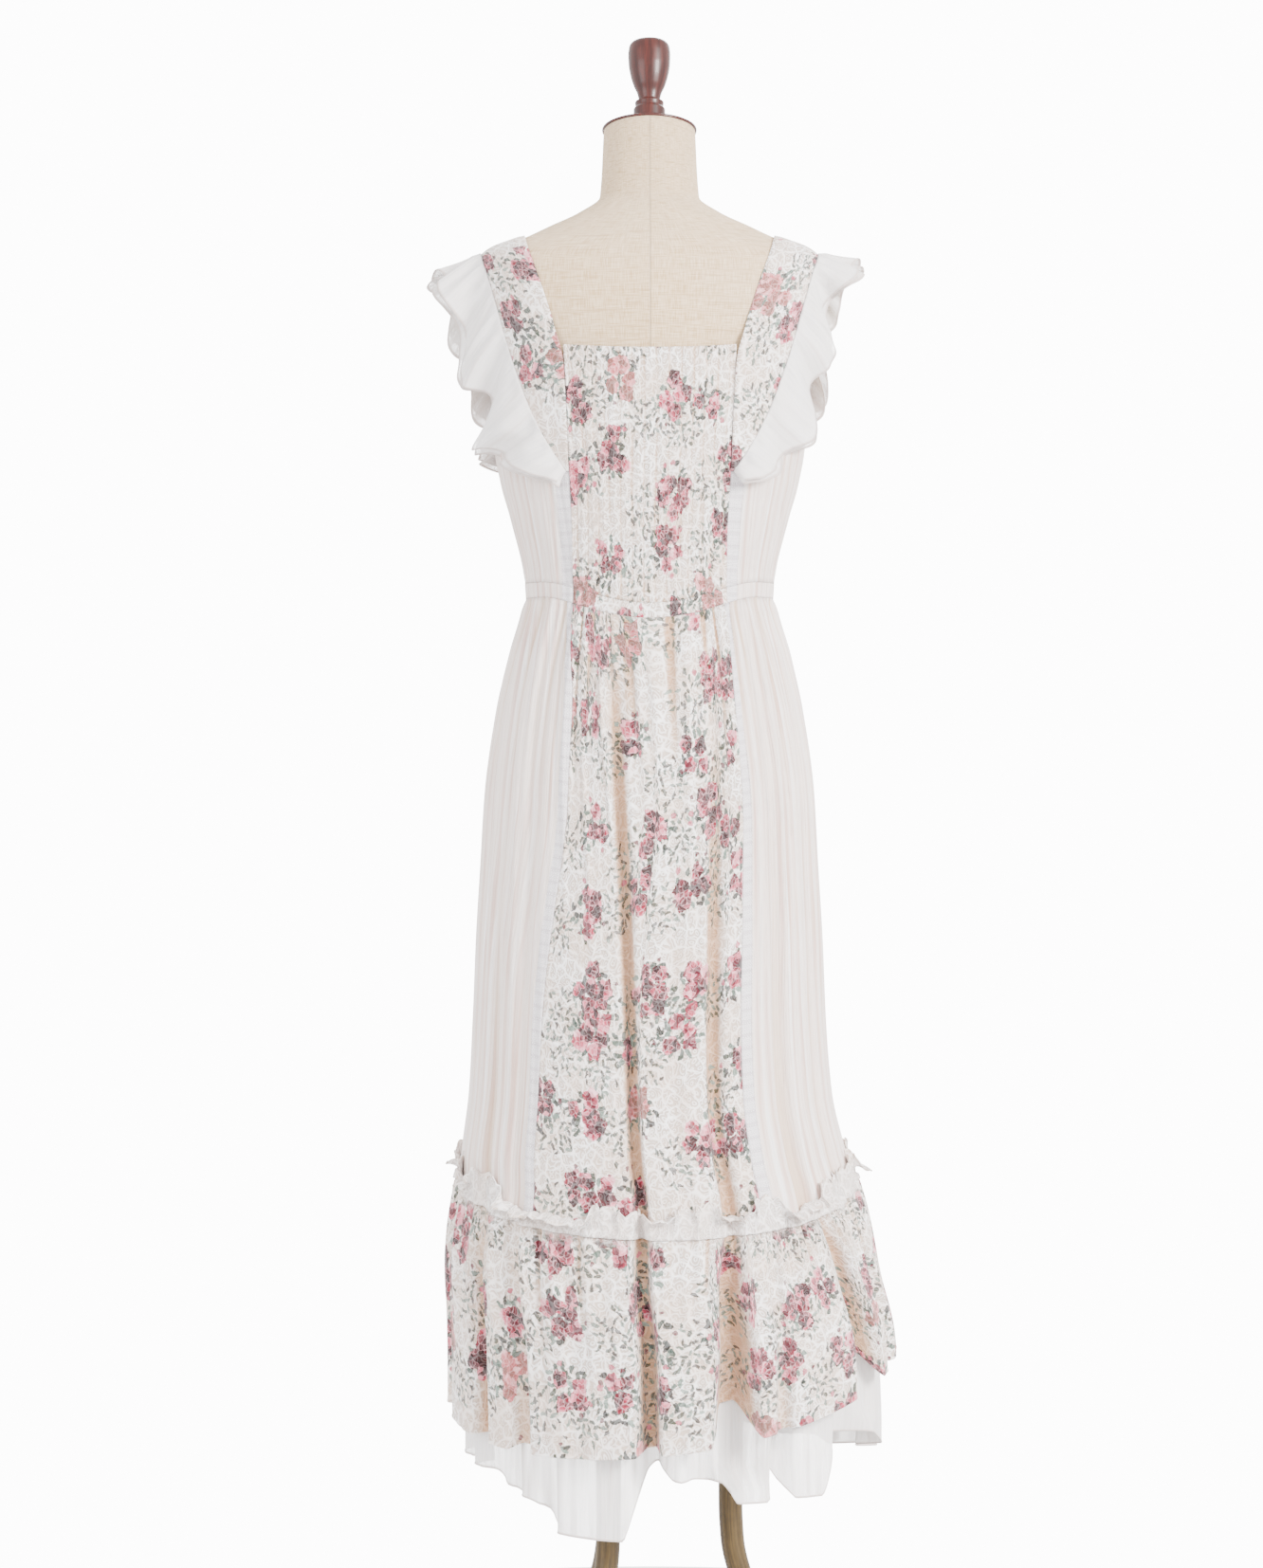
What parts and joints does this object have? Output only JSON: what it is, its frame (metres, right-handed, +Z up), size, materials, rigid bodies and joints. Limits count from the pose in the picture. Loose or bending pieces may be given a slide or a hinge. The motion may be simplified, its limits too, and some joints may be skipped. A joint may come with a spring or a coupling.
{
  "type": "sleeveless lace dress on a limbless dress form with a wooden stand",
  "caption": "Long sleeveless lace dress with shirred back, shoulder frills, gathered waist, flounce and chiffon underskirt, worn by a limbless linen form on a wooden stand.",
  "frame": {"origin": "on the floor, under the middle of the whole object's bounding box", "axes": "+Z up; +X to the right as the dress's back is seen; +Y out of the dress's front, away from the camera"},
  "size_m": [0.5018, 0.4878, 1.6356],
  "materials": {
    "floral_lace": "white lace over cream, printed with small rose clusters and grey-green leaves",
    "striped_voile": "thin crinkled voile with fine white and pale pink lengthwise stripes",
    "chiffon": "sheer plain white chiffon with narrow rolled hems",
    "linen": "natural beige linen drawn smooth over the form",
    "dark_wood": "dark red-brown turned wood, glossy",
    "stand_wood": "olive-brown wood, satin"
  },
  "bodies": {
    "root": {"bodice_back_centre": "floral_lace", "bodice_front_centre": "floral_lace", "skirt_back_centre": "floral_lace", "skirt_front_centre": "floral_lace", "flounce_back": "floral_lace", "flounce_front": "floral_lace", "heading_ruffle_back": "floral_lace", "heading_ruffle_front": "floral_lace", "strap_left": "floral_lace", "strap_right": "floral_lace", "waist_casing_back": "floral_lace", "waist_casing_front": "floral_lace", "bodice_back_side_left": "striped_voile", "bodice_back_side_right": "striped_voile", "bodice_front_side_left": "striped_voile", "bodice_front_side_right": "striped_voile", "skirt_back_side_left": "striped_voile", "skirt_back_side_right": "striped_voile", "skirt_front_side_left": "striped_voile", "skirt_front_side_right": "striped_voile", "waist_casing_left": "striped_voile", "waist_casing_right": "striped_voile", "frill_upper_left": "chiffon", "frill_upper_right": "chiffon", "frill_under_left": "chiffon", "frill_under_right": "chiffon", "underskirt": "chiffon", "form_body": "linen", "form_neck_cap": "dark_wood", "form_knob": "dark_wood", "stand_column": "stand_wood", "stand_hub": "stand_wood", "stand_leg_right": "stand_wood", "stand_leg_back": "stand_wood", "stand_leg_front": "stand_wood", "stand_foot_right": "stand_wood", "stand_foot_back": "stand_wood", "stand_foot_front": "stand_wood"}
  },
  "joints": []
}
